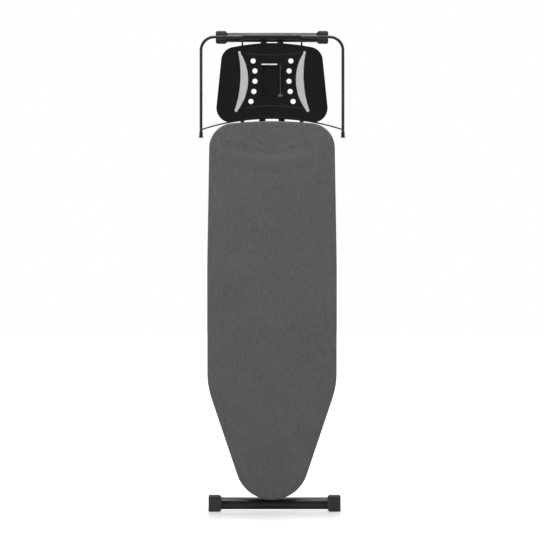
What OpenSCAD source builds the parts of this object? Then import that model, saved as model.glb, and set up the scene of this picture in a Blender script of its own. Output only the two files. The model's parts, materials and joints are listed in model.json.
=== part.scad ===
// Ironing board with an iron rest, folded and standing upright on its larger foot.
// X runs across the board, Y from the ironing surface (front) to the legs (back), Z up to the rear end.
// Depths are measured back from the ironing surface. The origin is at the middle of the footprint, on the floor.

/* [Board] */
// Length of the ironing surface
board_l = 1300; // [1100:10:1560]
// Greatest width of the ironing surface
board_w = 444; // [370:1:540]
// Radius of the nose
nose_r = 126; // [100:1:150]
// Angle of each tapered side to the centreline
taper_angle = 18.6; // [16:0.1:21]
// Height of the nose tip above the floor when folded
nose_z = 40.8; // [38:0.1:50]
// Thickness of the fabric cover
cover_t = 1.2; // [1:0.1:2]
// Thickness of the foam pad
pad_t = 5; // [3:0.5:6]
// Depth of the steel rim behind the mesh
rim_depth = 15.2; // [14:0.1:16]
// Distance of the greatest width from the rear end
widest_from_rear = 491.4; // [400:0.1:560]

/* [Legs] */
// Distance of the outer leg's hinge from the nose tip
hinge_from_nose = 365.3; // [340:0.1:390]
// Distance of the crossbar from the rear end of the board when folded
crossbar_from_rear = 94.9; // [88:0.1:110]
// Depth of the leg tubes behind the ironing surface
leg_depth = 46; // [46:0.5:52]
// Distance of both end pivots in front of the leg tubes
pivot_offset = 21; // [20:0.5:21]
// Diameter of each outer leg tube
outer_tube_d = 22; // [20:0.5:24]
// Width of the flat-sided inner leg tube
inner_tube_w = 38; // [34:1:39]
// Thickness of the inner leg tube from front to back
inner_tube_t = 20; // [18:1:22]
// Greatest unfolding angle of each leg
fold_angle = 50; // [44:1:52]
// Diameter of the crossbar that runs in the rack rails
crossbar_d = 10; // [8:0.5:10.5]

/* [Feet] */
// Diameter of the lower foot bar
lower_bar_d = 42; // [38:1:42]
// Width of the lower foot over its caps
lower_foot_w = 454.4; // [400:1:490]
// Height of the lower foot caps
lower_cap_h = 55.4; // [50:0.2:56]
// Length of each lower foot cap
lower_cap_l = 45; // [38:1:52]
// Distance of the lower foot caps' toes in front of the leg tubes
toe_reach = 40; // [34:1:44]
// Distance of the lower foot's middle to the right of the centreline
lower_foot_shift = 8.8; // [0:0.1:12]
// Diameter of the upper foot bar
upper_bar_d = 33; // [28:1:34]
// Width of the upper foot over its caps
upper_foot_w = 387; // [340:1:420]
// Height of the upper foot caps
upper_cap_h = 43.5; // [36:0.5:43.5]

/* [Iron rest] */
// Gap between the rear end of the board and the rest plate
plate_gap = 11.2; // [11:0.1:14]
// Height of the rest plate at its centreline
plate_h = 257; // [250:1:280]
// Greatest width of the rest plate
plate_w = 382; // [370:1:400]
// Thickness of the rest plate
plate_t = 3; // [2.5:0.5:4]
// Depth of the rest plate's front face behind the ironing surface
plate_depth = 6; // [5:0.5:6]
// Diameter of the holes in the rest plate
plate_hole_d = 17.5; // [14:0.5:20]

/* [Hanging rail] */
// Width of the rail between its arm centrelines
rail_w = 487.2; // [470:1:520]
// Diameter of the rail tube
rail_d = 10; // [8:0.5:12]
// Height of the rail's top bar above the rear end of the board
rail_rise = 289.2; // [285:1:320]
// Length of each rail arm below the rear end of the board
rail_drop = 57; // [45:1:80]
// Bend radius of the rail's corners at the tube's centreline
rail_bend_r = 46; // [30:1:60]
// Diameter of the sleeve on the rail's top bar
grip_d = 19; // [14:0.5:20]
// Distance of each support wire from the centreline
wire_x = 101.6; // [90:1:110]
// Diameter of each support wire
wire_d = 6; // [5:0.5:6]

/* [Height release] */
// Distance of the release shaft from the centreline
shaft_x = 112; // [110:1:118]
// Diameter of the release shaft
shaft_d = 8; // [6:0.5:8]
// Number of working heights
height_count = 6; // [3:1:7]

/* [Hidden] */

$fn = 64;
cut = 1;               // how far a cutter runs past the face that it opens
fit_gap = 0.05;        // radial clearance of every part that turns
arc_error = 0.04;      // greatest distance between a curved outline and its chords

metal = [0.15, 0.15, 0.16];
plastic = [0.17, 0.17, 0.18];
bare_steel = [0.6, 0.6, 0.62];
pale_plastic = [0.75, 0.75, 0.7];
grey_plastic = [0.45, 0.45, 0.47];

// Depths behind the ironing surface
mesh_t = 0.6;
mesh_front = cover_t + pad_t;
rim_front = mesh_front + mesh_t;
rim_back = rim_front + rim_depth;
rim_wall = 1;
rim_lip = 12;
hem_lip = 8;
total_depth = leg_depth + toe_reach;
front_y = -total_depth / 2;

// Outline of the board
half_w = board_w / 2;
rear_z = nose_z + board_l;
rear_slope = 5.4;
rear_corner_r = 85;
side_arc_r = 6000;
shoulder_r = 275;
rear_narrowing = 7.5;
corner_x = half_w - rear_narrowing;
// The arc across the rear ends before the rounding of the corners begins
rear_corner_reach = rear_corner_r * tan((90 - rear_slope) / 2) + 3;
rear_arc_r = min(1400, (corner_x / cos(rear_slope) - rear_corner_reach) / tan(rear_slope));
rear_apex_z = rear_z + rear_arc_r * (1 / cos(rear_slope) - 1);
widest_z = rear_z - widest_from_rear;
side_bulge = 0.5;
nose_apex_z = nose_z - nose_r * (1 / sin(taper_angle) - 1);
shoulder_z = nose_apex_z + half_w / tan(taper_angle);
board_half = [
  [half_w, shoulder_z, shoulder_r],
  [half_w + side_bulge, widest_z, side_arc_r],
  [corner_x, rear_apex_z - corner_x * tan(rear_slope), rear_corner_r]
];

// Leg linkage: both legs have their pivots the same distance from the scissor bolt
hinge_z = nose_z + hinge_from_nose;
arm_l = (board_l - hinge_from_nose - crossbar_from_rear) / 2;
scissor_z = hinge_z + arm_l;
crossbar_z = hinge_z + 2 * arm_l;
pivot_depth = leg_depth - pivot_offset;
top_z = 2 * scissor_z;
upper_foot_z = top_z - upper_cap_h / 2;
lower_foot_z = lower_cap_h / 2;
travel_end_z = crossbar_height(fold_angle);
outer_tube_x = 42.3;
tube_slope = 1.01;
tube_wall = 1.2;
inner_wall = 1.4;
inner_top_z = crossbar_z - 12;
bolt_d = 8;
bolt_head_d = 15;
bolt_half = outer_tube_x + outer_tube_d / 2 + 1;
bush_d = 12;
lug_r = 7.5;
lug_w = 14;
lug_wall = 2.5;
rod_half = 78;
rod_cap_d = 13;

// Feet
foot_bar_wall = 1.5;
upper_cap_l = 40;
upper_edge_r = 7;
upper_bar_half = upper_foot_w / 2 - 10;
lower_edge_r = 5.5;
lower_bar_half = lower_foot_w / 2 - 12;

// Brace and rail layout behind the mesh
brace_w = 30;
brace_t = 1.2;
brace_back = 15;
front_brace_half = taper_edge(hinge_z) - 17.5;
middle_brace_half = half_w - 8;
rear_brace_half = half_w - 36;
middle_brace_z = travel_end_z - 25;
rear_brace_z = crossbar_z + 39;
base_t = 1.5;
seat = brace_back + base_t;
ear_x = 70;
ear_t = 3;
ear_r = 12;
rod_d = 8;
rack_x = 85;
rack_t = 3;
rack_flange = 12;
crossbar_half = rack_x + 12.5;
rivet_d = 4;
rivet_head_d = 9;
rivet_head_h = 2.5;
bracket_rivets = [[30, -10], [30, 10], [58, -10], [58, 10]];

// Iron rest
clip_web = 0.6;
frame_depth = plate_depth + plate_t + clip_web + wire_d / 2;
plate_bottom = rear_z + plate_gap;
plate_top = plate_bottom + plate_h;
plate_mid = plate_bottom + 125;
clip_rise = [50, 205];
clip_h = 14;
clip_w = 14;
plate_arc_r = 650;
plate_slope = 10;
plate_apex_z = plate_top + plate_arc_r * (1 / cos(plate_slope) - 1);
plate_lean = 0.102;
plate_top_corner = 19;
plate_flare = 5.3;
plate_wing_drop = 16;
plate_foot_r = 50;
plate_shoulder_r = 48;
plate_border = 2.5;
plate_border_t = 1;
plate_half_w = plate_w / 2;
plate_foot_z = plate_bottom - plate_wing_drop;
plate_foot_x = plate_half_w + plate_flare;
plate_shoulder_z = plate_apex_z - (plate_half_w - plate_top_corner) * tan(plate_slope);
plate_shoulder_x = plate_foot_x - plate_lean * (plate_shoulder_z - plate_foot_z);
plate_half = [
  [plate_foot_x, plate_foot_z, plate_foot_r],
  [plate_shoulder_x, plate_shoulder_z, plate_shoulder_r]
];
pocket_half_w = 36.4;
pocket_rise = 69.7;
pocket_h = 111.7;
pocket_bottom = plate_bottom + pocket_rise;
pocket_top = pocket_bottom + pocket_h;
pocket_floor = 13;
pocket_wall = 2;
strip_h = 4.6;
strip_right = 18;
strip_floor = 2;
strip_rise = 0.6;
hole_places = [[64.7, 195.3], [58.7, 161], [58.5, 125.7], [62.4, 90.6], [72.4, 56.4]];
hole_rim = 1.5;
hole_rim_t = 0.7;
low_ridge_rise = 40.6;
high_ridge_rise = 215;
ridge_d = 2.4;
guide_x = 28.5;
guide_z = pocket_bottom + 5.6;
guide_depth = 8.2;
guide_l = 101.2;
guide_tip_z = guide_z + guide_l;
guide_rod_d = 2.4;
guide_pin_d = 3;
guide_base_half = 8;

// Silicone inserts
insert_rise = 1.6;
insert_step = 0.6;
insert_bevel = 2.2;
insert_floor = 1;
insert_low_tip = [122.7, 25.5];
insert_low_r = 5.4;
insert_high_tip = [112, 225];
insert_high_r = 4.4;
insert_outer_arc = [256, 6, 174];
insert_inner_arc = [488, 23, 380];

// Hanging rail
rail_x = rail_w / 2;
rail_z = rear_z + rail_rise;
rail_end_z = rear_z - rail_drop;
rail_wall = 1.2;
rail_cap_l = 19;
rail_cap_d = rail_d + 4;
rail_cap_rim = 6;
rail_cap_floor = 5;
brace_wire_d = 5;
brace_wire_depth = frame_depth + (wire_d + brace_wire_d) / 2;
brace_top_z = plate_bottom - 1;
brace_end_drop = 29;
brace_end_z = rear_z - brace_end_drop;
brace_sag = brace_top_z - brace_end_z;
brace_arc_r = (rail_x * rail_x + brace_sag * brace_sag) / (2 * brace_sag);

// Sockets that hold the support wires in the rear edge of the board
socket_d = wire_d + 4.6;
socket_collar_d = socket_d + 3;
socket_l = 22;
socket_collar_l = 12;
socket_top = plate_edge(wire_x + socket_collar_d / 2) - 0.5;
wire_end_l = 34;

// Height release
lever_z = crossbar_z - 44;
shaft_end = 9;
lever_t = 3;
lever_arm_l = 54;
lever_arm_h = 24;
lever_grip_l = 40;
lever_grip_t = 11;
comb_edge_x = crossbar_half + 1;
first_height_angle = 26;
height_step = (fold_angle - 2 - first_height_angle) / (height_count - 1);

// Transport lock
lock_z = rear_brace_z;
lock_back = leg_depth + outer_tube_d / 2 + 2;
lock_screw_d = 5;
lock_screw_l = 14;
toggle_l = 74;
toggle_w = 15;
toggle_gap = 0.3;
toggle_t = 4.2;

// ---- functions ----

// Height of the crossbar when each leg is unfolded by an angle
function crossbar_height(angle) = hinge_z + 2 * (arm_l * cos(angle) - pivot_offset * sin(angle));

// Distance of the board's tapered edge from the centreline at a height
function taper_edge(z) = min(half_w, (z - nose_apex_z) * tan(taper_angle));

// Height of the rest plate's hollow lower edge at a distance from the centreline
function plate_edge(x) = plate_bottom - plate_arc_r + sqrt(plate_arc_r * plate_arc_r - x * x);

function unit(v) = v / norm(v);

function arc_steps(r, sweep) = max(2, ceil(sweep / (2 * acos(1 - arc_error / r))));

// Points of the fillet at corner b of a counter-clockwise outline, moved inwards by inset
function fillet(a, b, c, r, inset) =
  let (u = unit(a - b), w = unit(c - b))
  let (half = acos(u * w) / 2)
  let (centre = b + unit(u + w) * r / sin(half))
  let (start = b + u * r / tan(half) - centre)
  let (first = atan2(start.y, start.x), sweep = 180 - 2 * half, steps = arc_steps(r, sweep))
  [for (i = [0:steps]) centre + (r - inset) * [cos(first + sweep * i / steps), sin(first + sweep * i / steps)]];

// Outline with round corners, from a list of [x, z, radius]
function rounded(corners, inset) =
  let (n = len(corners), p = [for (k = corners) [k.x, k.y]])
  [for (i = [0:n - 1]) each fillet(p[(i + n - 1) % n], p[i], p[(i + 1) % n], corners[i].z, inset)];

// A half outline, its mirror image and, between them, the points on the centreline
function both_halves(bottom, half, top) = concat(
  bottom, half, top, [for (i = [len(half) - 1:-1:0]) [-half[i].x, half[i].y, half[i].z]]);

// Position of an outer leg tube at a height
function tube_x(z) = outer_tube_x - (z - scissor_z) * tan(tube_slope);

// ---- helper shapes ----

// Moves a shape drawn with its depth behind the ironing surface to its place
module placed() {
  translate([0, front_y, 0]) children();
}

// Extrudes an outline in X and Z between two depths
module slab(front, back) {
  translate([0, back, 0]) rotate([90, 0, 0]) linear_extrude(back - front) children();
}

// Extrudes an outline in depth and Z between two X positions
module side_plate(left, right) {
  translate([left, 0, 0]) rotate([90, 0, 90]) linear_extrude(right - left) children();
}

// Cylinder along X between two X positions
module rod_x(left, right, d, depth, z) {
  translate([left, depth, z]) rotate([0, 90, 0]) cylinder(h = right - left, d = d);
}

// Cylinder along Y between two depths
module rod_y(front, back, d, x, z) {
  translate([x, back, z]) rotate([90, 0, 0]) cylinder(h = back - front, d = d);
}

module rod_z(bottom, top, d, x, depth) {
  translate([x, depth, bottom]) cylinder(h = top - bottom, d = d);
}

module both_sides() {
  children();
  mirror([1, 0, 0]) children();
}

module on_side(side) {
  mirror([side < 0 ? 1 : 0, 0, 0]) children();
}

// Rectangle with round corners, given its low and high corners
module round_box(low, high, r) {
  polygon(rounded([[high.x, low.y, r], [high.x, high.y, r], [low.x, high.y, r], [low.x, low.y, r]], 0));
}

// Flat-sided tube section with round ends, wide in X
module oval(w, t) {
  polygon(rounded([for (k = [[1, -1], [1, 1], [-1, 1], [-1, -1]]) [k.x * w / 2, k.y * t / 2, t / 2 - 0.01]], 0));
}

module board_outline(inset) {
  polygon(rounded(both_halves([[0, nose_apex_z, nose_r]], board_half, [[0, rear_apex_z, rear_arc_r]]), inset));
}

// The lower edge is hollow, so a large circle is taken away
module plate_outline(inset) {
  difference() {
    polygon(rounded(both_halves([], plate_half, [[0, plate_apex_z, plate_arc_r]]), inset));
    translate([0, plate_bottom - plate_arc_r]) circle(r = plate_arc_r + inset, $fn = 360);
  }
}

// ---- board ----

module socket_bores() {
  both_sides() rod_z(rear_z - 2 * socket_l, rear_z + socket_l, socket_d, wire_x, frame_depth);
}

module cover() {
  color([0.33, 0.33, 0.34]) placed() difference() {
    slab(0, rim_back + cover_t) board_outline(0);
    slab(cover_t, rim_back) board_outline(cover_t);
    slab(rim_back - cut, rim_back + cover_t + cut) board_outline(cover_t + hem_lip);
    socket_bores();
  }
}

module pad() {
  color([0.85, 0.85, 0.82]) placed() slab(cover_t, mesh_front) board_outline(cover_t);
}

module deck_mesh() {
  color(bare_steel) placed() slab(mesh_front, rim_front) board_outline(cover_t);
}

// Folded steel channel round the whole edge
module deck_rim() {
  color(metal) placed() difference() {
    slab(rim_front, rim_back) board_outline(cover_t);
    slab(rim_front - cut, rim_back - rim_wall) board_outline(cover_t + rim_wall);
    slab(rim_back - 2 * rim_wall, rim_back + cut) board_outline(cover_t + rim_lip);
    socket_bores();
  }
}

// Channel across the board with its open side on the mesh
module cross_brace(z, half) {
  color(metal) placed() difference() {
    side_plate(-half, half) difference() {
      translate([rim_front, z - brace_w / 2]) square([brace_back - rim_front, brace_w]);
      translate([rim_front - cut, z - brace_w / 2 + brace_t])
        square([brace_back - rim_front + cut - brace_t, brace_w - 2 * brace_t]);
    }
    rivet_bores();
  }
}

module front_cross_brace() {
  cross_brace(hinge_z, front_brace_half);
}

module middle_cross_brace() {
  cross_brace(middle_brace_z, middle_brace_half);
}

module rear_cross_brace() {
  cross_brace(rear_brace_z, rear_brace_half);
}

// Two ears that carry the outer leg's hinge rod
module hinge_bracket() {
  base_h = 36;
  round_r = ear_r - 0.1;
  root_r = 0.5;
  color(metal) placed() difference() {
    union() {
      slab(brace_back, seat)
        translate([-ear_x - ear_t, hinge_z - base_h / 2]) square([2 * (ear_x + ear_t), base_h]);
      both_sides() side_plate(ear_x, ear_x + ear_t) polygon(rounded([
        [brace_back, hinge_z - ear_r, root_r], [pivot_depth + ear_r, hinge_z - ear_r, round_r],
        [pivot_depth + ear_r, hinge_z + ear_r, round_r], [brace_back, hinge_z + ear_r, root_r]
      ], 0));
    }
    rod_x(-ear_x - 2 * ear_t, ear_x + 2 * ear_t, rod_d + 2 * fit_gap, pivot_depth, hinge_z);
    rivet_bores();
  }
}

// Slotted side plate with a notch for each working height
module rack_rail(side) {
  slot_w = crossbar_d + 0.8;
  slot_edge = 5;
  notch_d = slot_w - 2;
  notch_shift = 2.5;
  back = pivot_depth + slot_w / 2 + slot_edge;
  low = middle_brace_z - slot_edge;
  high = rear_brace_z - slot_edge;
  color(metal) placed() on_side(side) difference() {
    union() {
      side_plate(rack_x - rack_t / 2, rack_x + rack_t / 2)
        translate([brace_back, low]) square([back - brace_back, high - low]);
      slab(brace_back, seat) translate([rack_x - rack_t / 2, low]) square([rack_flange, high - low]);
    }
    side_plate(rack_x - rack_t, rack_x + rack_t) {
      translate([pivot_depth - slot_w / 2, travel_end_z]) square([slot_w, crossbar_z - travel_end_z]);
      translate([pivot_depth, travel_end_z]) circle(d = slot_w);
      translate([pivot_depth, crossbar_z]) circle(d = slot_w);
      for (i = [0:height_count - 1])
        translate([pivot_depth + notch_shift, crossbar_height(first_height_angle + i * height_step)])
          circle(d = notch_d);
    }
    rivet_bores();
  }
}

module rack_rail_left() {
  rack_rail(-1);
}

module rack_rail_right() {
  rack_rail(1);
}

// Places of the rivets that hold the bracket and the rack rails to the braces
module at_rivets() {
  rack_rivet_x = rack_x + rack_flange / 2;
  both_sides() {
    for (k = bracket_rivets) translate([k.x, 0, hinge_z + k.y]) children();
    translate([rack_rivet_x, 0, middle_brace_z + 4]) children();
    translate([rack_rivet_x, 0, rear_brace_z - 10]) children();
  }
}

module rivet_bores() {
  at_rivets() rod_y(brace_back - brace_t - cut, seat + cut, rivet_d, 0, 0);
}

// Domed rivets
module rivets() {
  dome_r = rivet_head_d / 2;
  color(bare_steel) placed() at_rivets() {
    rod_y(brace_back - brace_t, seat, rivet_d, 0, 0);
    intersection() {
      translate([0, seat + rivet_head_h - dome_r, 0]) sphere(r = dome_r);
      rod_y(seat, seat + dome_r, rivet_head_d, 0, 0);
    }
  }
}

// Two blocks that carry the release shaft
module shaft_bearings() {
  bearing_h = 8;
  bearing_w = shaft_d + 8;
  color(plastic) placed() for (z = [middle_brace_z, rear_brace_z]) difference() {
    union() {
      rod_z(z - bearing_h / 2, z + bearing_h / 2, bearing_w, shaft_x, pivot_depth);
      translate([shaft_x - bearing_w / 2, brace_back, z - bearing_h / 2])
        cube([bearing_w, pivot_depth - brace_back, bearing_h]);
    }
    rod_z(z - bearing_h, z + bearing_h, shaft_d + 2 * fit_gap, shaft_x, pivot_depth);
  }
}

module lock_post() {
  post_d = 10;
  flange_d = 24;
  flange_t = 2;
  color(plastic) placed() difference() {
    union() {
      rod_y(brace_back, lock_back, post_d, 0, lock_z);
      rod_y(brace_back, brace_back + flange_t, flange_d, 0, lock_z);
    }
    rod_y(lock_back - lock_screw_l, lock_back + cut, lock_screw_d, 0, lock_z);
  }
}

module lock_screw() {
  head_front = lock_back + 2 * toggle_gap + toggle_t;
  head_d = 10;
  head_t = 2.5;
  color(bare_steel) placed() {
    rod_y(lock_back - lock_screw_l, head_front, lock_screw_d, 0, lock_z);
    rod_y(head_front, head_front + head_t, head_d, 0, lock_z);
  }
}

// ---- iron rest ----

// One thin ridge that follows an arc across the plate
module ridge(top_at_centre, r, half_angle) {
  bend = top_at_centre ? 1 : -1;
  centre_z = plate_bottom + (bend > 0 ? low_ridge_rise - r : high_ridge_rise + r);
  translate([0, plate_depth, centre_z]) rotate([90, 0, 0])
    rotate([0, 0, 90 * bend - half_angle])
      rotate_extrude(angle = 2 * half_angle, $fn = 360) translate([r, 0]) circle(d = ridge_d, $fn = 24);
}

module plate_holes() {
  for (k = hole_places) both_sides() {
    rod_y(plate_depth - cut, plate_depth + plate_t + cut, plate_hole_d, k.x, plate_bottom + k.y);
    rod_y(plate_depth - cut, plate_depth + hole_rim_t, plate_hole_d + 2 * hole_rim, k.x, plate_bottom + k.y);
  }
}

// Crescent between two arcs on one side of the plate, with round tips
module crescent(inset) {
  low_tip = insert_low_tip + [0, plate_bottom];
  high_tip = insert_high_tip + [0, plate_bottom];
  intersection() {
    difference() {
      translate([insert_outer_arc.x, plate_mid + insert_outer_arc.y])
        circle(r = insert_outer_arc.z - inset, $fn = 180);
      translate([insert_inner_arc.x, plate_mid + insert_inner_arc.y])
        circle(r = insert_inner_arc.z + inset, $fn = 360);
    }
    translate([0, low_tip.y]) square([plate_half_w, high_tip.y - low_tip.y]);
  }
  translate(low_tip) circle(r = insert_low_r - inset);
  translate(high_tip) circle(r = insert_high_r - inset);
}

module strip_outline() {
  translate([-pocket_half_w, pocket_top]) square([pocket_half_w + strip_right, strip_h]);
}

module rest_plate() {
  pocket_x = pocket_half_w + pocket_wall;
  bearing_x = guide_x - 11;
  bearing_w = 2.4;
  bearing_r = 2.6;
  color(plastic) placed() difference() {
    union() {
      slab(plate_depth, plate_depth + plate_t) plate_outline(0);
      slab(plate_depth - plate_border_t, plate_depth) difference() {
        plate_outline(0);
        plate_outline(plate_border);
      }
      slab(plate_depth + plate_t, pocket_floor + pocket_wall)
        translate([-pocket_x, pocket_bottom - pocket_wall]) square([2 * pocket_x, pocket_top - pocket_bottom + 5]);
      ridge(false, 662, 8.3);
      ridge(true, 525, 10.9);
    }
    slab(plate_depth - cut, pocket_floor)
      translate([-pocket_half_w, pocket_bottom]) square([2 * pocket_half_w, pocket_top - pocket_bottom]);
    slab(plate_depth - cut, plate_depth + strip_floor) strip_outline();
    plate_holes();
    both_sides() slab(plate_depth - cut, plate_depth + insert_floor) crescent(0);
    guide_bores(guide_pin_d + 2 * fit_gap);
  }
  color(plastic) placed() difference() {
    translate([bearing_x, guide_depth - bearing_r, guide_z - bearing_r])
      cube([bearing_w, pocket_floor - guide_depth + bearing_r, 2 * bearing_r]);
    guide_bores(guide_pin_d + 2 * fit_gap);
  }
}

module guide_bores(d) {
  rod_x(guide_x - 12, pocket_half_w + 1.7, d, guide_depth, guide_z);
}

// Pale strip let into the plate along the upper edge of the pocket
module pocket_strip() {
  color(pale_plastic) placed() slab(plate_depth - strip_rise, plate_depth + strip_floor) strip_outline();
}

module insert_pad(side) {
  color([0.74, 0.74, 0.76]) placed() on_side(side) {
    slab(plate_depth - insert_rise + insert_step, plate_depth + insert_floor) crescent(0);
    slab(plate_depth - insert_rise, plate_depth + insert_floor) crescent(insert_bevel);
  }
}

module insert_left() {
  insert_pad(-1);
}

module insert_right() {
  insert_pad(1);
}

// Clips under the plate that snap on to the support wires
module plate_clips() {
  color(plastic) placed() both_sides() for (rise = clip_rise) difference() {
    translate([wire_x - clip_w / 2, plate_depth + plate_t, plate_bottom + rise]) cube([clip_w, wire_d + 1.5, clip_h]);
    rod_z(plate_bottom + rise - cut, plate_bottom + rise + clip_h + cut, wire_d, wire_x, frame_depth);
  }
}

// ---- hanging rail ----

module rail_shape(d) {
  both_sides() {
    rod_z(rail_end_z + rail_cap_floor, rail_z - rail_bend_r, d, rail_x, frame_depth);
    translate([rail_x - rail_bend_r, frame_depth, rail_z - rail_bend_r]) rotate([90, 0, 0])
      rotate_extrude(angle = 90) translate([rail_bend_r, 0]) circle(d = d);
  }
  rod_x(-rail_x + rail_bend_r, rail_x - rail_bend_r, d, frame_depth, rail_z);
}

module hanging_rail() {
  color(metal) placed() difference() {
    rail_shape(rail_d);
    rail_shape(rail_d - 2 * rail_wall);
    both_sides() rod_z(rail_end_z, rail_end_z + rail_cap_floor + cut, rail_d - 2 * rail_wall, rail_x, frame_depth);
  }
}

module rail_grip() {
  grip_half = wire_x - wire_d / 2 - 0.6;
  color(plastic) placed() difference() {
    rod_x(-grip_half, grip_half, grip_d, frame_depth, rail_z);
    rod_x(-grip_half - cut, grip_half + cut, rail_d, frame_depth, rail_z);
  }
}

// Flared plastic end that the rail arm is pushed into
module rail_cap(side) {
  color(plastic) placed() on_side(side) difference() {
    union() {
      rod_z(rail_end_z, rail_end_z + rail_cap_l, rail_d + 2 * rail_wall, rail_x, frame_depth);
      rod_z(rail_end_z, rail_end_z + rail_cap_rim, rail_cap_d, rail_x, frame_depth);
    }
    rod_z(rail_end_z + rail_cap_floor, rail_end_z + rail_cap_l + cut, rail_d, rail_x, frame_depth);
  }
}

module rail_cap_left() {
  rail_cap(-1);
}

module rail_cap_right() {
  rail_cap(1);
}

module support_wire(side) {
  color(metal) placed() on_side(side)
    rod_z(rear_z - wire_end_l, rail_z - rail_d / 2 + 0.5, wire_d, wire_x, frame_depth);
}

module support_wire_left() {
  support_wire(-1);
}

module support_wire_right() {
  support_wire(1);
}

module brace_arc(d) {
  half_angle = asin(rail_x / brace_arc_r);
  translate([0, brace_wire_depth, brace_top_z - brace_arc_r]) rotate([90, 0, 0])
    rotate([0, 0, 90 - half_angle])
      rotate_extrude(angle = 2 * half_angle, $fn = 360) translate([brace_arc_r, 0]) circle(d = d, $fn = 32);
}

module brace_wire() {
  color(metal) placed() brace_arc(brace_wire_d);
}

// Socket in the rear edge with a notch that the brace wire lies in
module wire_socket(side) {
  color(plastic) placed() on_side(side) difference() {
    union() {
      rod_z(rear_z - socket_l, socket_top, socket_d, wire_x, frame_depth);
      difference() {
        rod_z(rear_z - socket_collar_l, socket_top, socket_collar_d, wire_x, frame_depth);
        slab(0, rim_back + cover_t) board_outline(0);
      }
    }
    rod_z(rear_z - 2 * socket_l, socket_top + cut, wire_d, wire_x, frame_depth);
    brace_arc(brace_wire_d);
  }
}

module wire_socket_left() {
  wire_socket(-1);
}

module wire_socket_right() {
  wire_socket(1);
}

// ---- outer leg ----

// The outer tubes lean towards each other at the upper foot
module along_tube() {
  translate([outer_tube_x, leg_depth, scissor_z]) rotate([0, -tube_slope, 0]) children();
}

module tube_body(d) {
  low = hinge_z - 8 - scissor_z;
  along_tube() rod_z(low, upper_foot_z - 2 - scissor_z, d, 0, 0);
}

module outer_tube(side) {
  color(metal) placed() on_side(side) difference() {
    tube_body(outer_tube_d);
    along_tube() rod_z(hinge_z - 20 - scissor_z, upper_foot_z + 20 - scissor_z, outer_tube_d - 2 * tube_wall, 0, 0);
    rod_x(0, 2 * outer_tube_x, bolt_d, leg_depth, scissor_z);
    rod_x(0, rod_half, rod_d, pivot_depth, hinge_z);
  }
}

module outer_tube_left() {
  outer_tube(-1);
}

module outer_tube_right() {
  outer_tube(1);
}

// Fitting on the lower end of the tube that reaches forward to the hinge rod
module hinge_lug(side) {
  x = tube_x(hinge_z);
  sleeve_low = hinge_z - 12;
  sleeve_high = hinge_z + 34;
  color(plastic) placed() on_side(side) difference() {
    union() {
      along_tube() rod_z(sleeve_low - scissor_z, sleeve_high - scissor_z, outer_tube_d + 2 * lug_wall, 0, 0);
      side_plate(x - lug_w / 2, x + lug_w / 2) {
        translate([pivot_depth, hinge_z]) circle(r = lug_r);
        polygon([
          [pivot_depth, hinge_z - lug_r], [leg_depth, sleeve_low],
          [leg_depth, sleeve_high - 4], [pivot_depth, hinge_z + lug_r]
        ]);
      }
    }
    tube_body(outer_tube_d);
    rod_x(x - lug_w, x + lug_w, rod_d, pivot_depth, hinge_z);
  }
}

module hinge_lug_left() {
  hinge_lug(-1);
}

module hinge_lug_right() {
  hinge_lug(1);
}

module hinge_rod() {
  color(bare_steel) placed() rod_x(-rod_half, rod_half, rod_d, pivot_depth, hinge_z);
}

module hinge_rod_caps() {
  color(plastic) placed() both_sides() difference() {
    rod_x(ear_x + ear_t + 0.6, rod_half + 2, rod_cap_d, pivot_depth, hinge_z);
    rod_x(ear_x + ear_t, rod_half, rod_d, pivot_depth, hinge_z);
  }
}

// Round foot bar between two caps
module foot_bar(d, half, z) {
  difference() {
    rod_x(-half, half, d, leg_depth, z);
    rod_x(-half - cut, half + cut, d - 2 * foot_bar_wall, leg_depth, z);
  }
}

// Rectangle with round outer corners and its two inner corners cut off
module cap_outline(low, high, edge_r) {
  chamfer = 7;
  outer_r = 3;
  inner_r = 2;
  polygon(rounded([
    [low.x + chamfer, low.y, outer_r], [high.x, low.y, edge_r], [high.x, high.y, edge_r],
    [low.x + chamfer, high.y, outer_r], [low.x, high.y - chamfer, inner_r], [low.x, low.y + chamfer, inner_r]
  ], 0));
}

// Cap with round edges on every side, over the end of a foot bar
module foot_cap(inner_x, outer_x, front, back, low, high, edge_r, bar_d, bar_z, bar_end) {
  difference() {
    intersection() {
      side_plate(inner_x, outer_x) round_box([front, low], [back, high], edge_r);
      slab(front, back) cap_outline([inner_x, low], [outer_x, high], edge_r);
      translate([0, 0, low]) linear_extrude(high - low) cap_outline([inner_x, front], [outer_x, back], edge_r);
    }
    rod_x(inner_x - cut, bar_end, bar_d, leg_depth, bar_z);
  }
}

module outer_foot_bar() {
  color(metal) placed() difference() {
    foot_bar(upper_bar_d, upper_bar_half, upper_foot_z);
    both_sides() tube_body(outer_tube_d);
  }
}

module outer_foot_cap(side) {
  color(plastic) placed() on_side(side) foot_cap(
    upper_foot_w / 2 - upper_cap_l, upper_foot_w / 2,
    leg_depth - upper_cap_h / 2, leg_depth + upper_cap_h / 2,
    top_z - upper_cap_h, top_z, upper_edge_r, upper_bar_d, upper_foot_z, upper_bar_half);
}

module outer_foot_cap_left() {
  outer_foot_cap(-1);
}

module outer_foot_cap_right() {
  outer_foot_cap(1);
}

// ---- scissor pivot ----

module scissor_bolt() {
  head_t = 4;
  color(bare_steel) placed() {
    rod_x(-bolt_half, bolt_half + 5, bolt_d, leg_depth, scissor_z);
    rod_x(-bolt_half - head_t, -bolt_half, bolt_head_d, leg_depth, scissor_z);
  }
}

module scissor_nut() {
  nut_t = 6.5;
  color(bare_steel) placed() difference() {
    rod_x(bolt_half, bolt_half + nut_t, bolt_head_d, leg_depth, scissor_z, $fn = 6);
    rod_x(bolt_half - cut, bolt_half + nut_t + cut, bolt_d, leg_depth, scissor_z);
  }
}

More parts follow.
